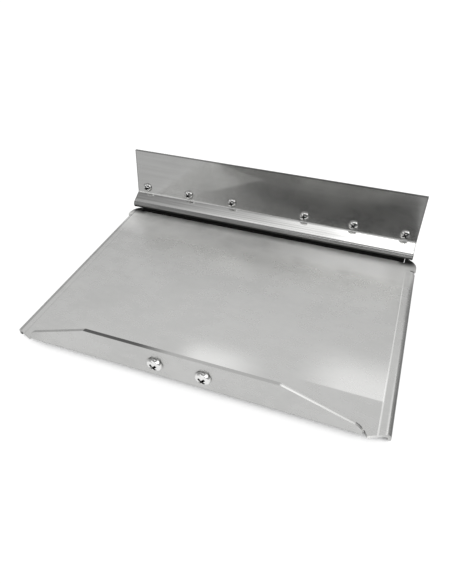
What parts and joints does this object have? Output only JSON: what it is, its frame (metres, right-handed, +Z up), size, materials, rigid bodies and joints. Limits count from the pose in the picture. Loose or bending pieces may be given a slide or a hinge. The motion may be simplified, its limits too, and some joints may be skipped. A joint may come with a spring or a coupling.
{
  "type": "boat trim tab",
  "caption": "Stainless boat trim tab: a flat plane with turned-down sides and an upturned trailing lip, hinged to a transom plate with fixing screws.",
  "frame": {"origin": "on the floor under the middle of the part's box, as it lies on its side flanges", "axes": "+X along the hinge, +Y forward to the transom, +Z up out of the plane's top face"},
  "size_m": [0.3048, 0.2552, 0.0755],
  "materials": {
    "sheet_steel": "matt mill-finish stainless sheet",
    "hinge_steel": "plain drawn stainless, duller than the sheet",
    "screw_steel": "polished stainless"
  },
  "bodies": {
    "transom_bracket": {"transom_plate": "sheet_steel", "hinge_fixed_leaf": "hinge_steel", "hinge_pin": "hinge_steel", "transom_screws": "screw_steel"},
    "tab": {"trim_plane": "sheet_steel", "hinge_moving_leaf": "hinge_steel", "actuator_screws": "screw_steel"}
  },
  "joints": [
    {"name": "plane_hinge", "type": "hinge", "parent": "transom_bracket", "child": "tab", "pos_m": [0, 0.0912, 0.00953], "axis": [-1, 0, 0], "range_deg": [0, 25]}
  ]
}
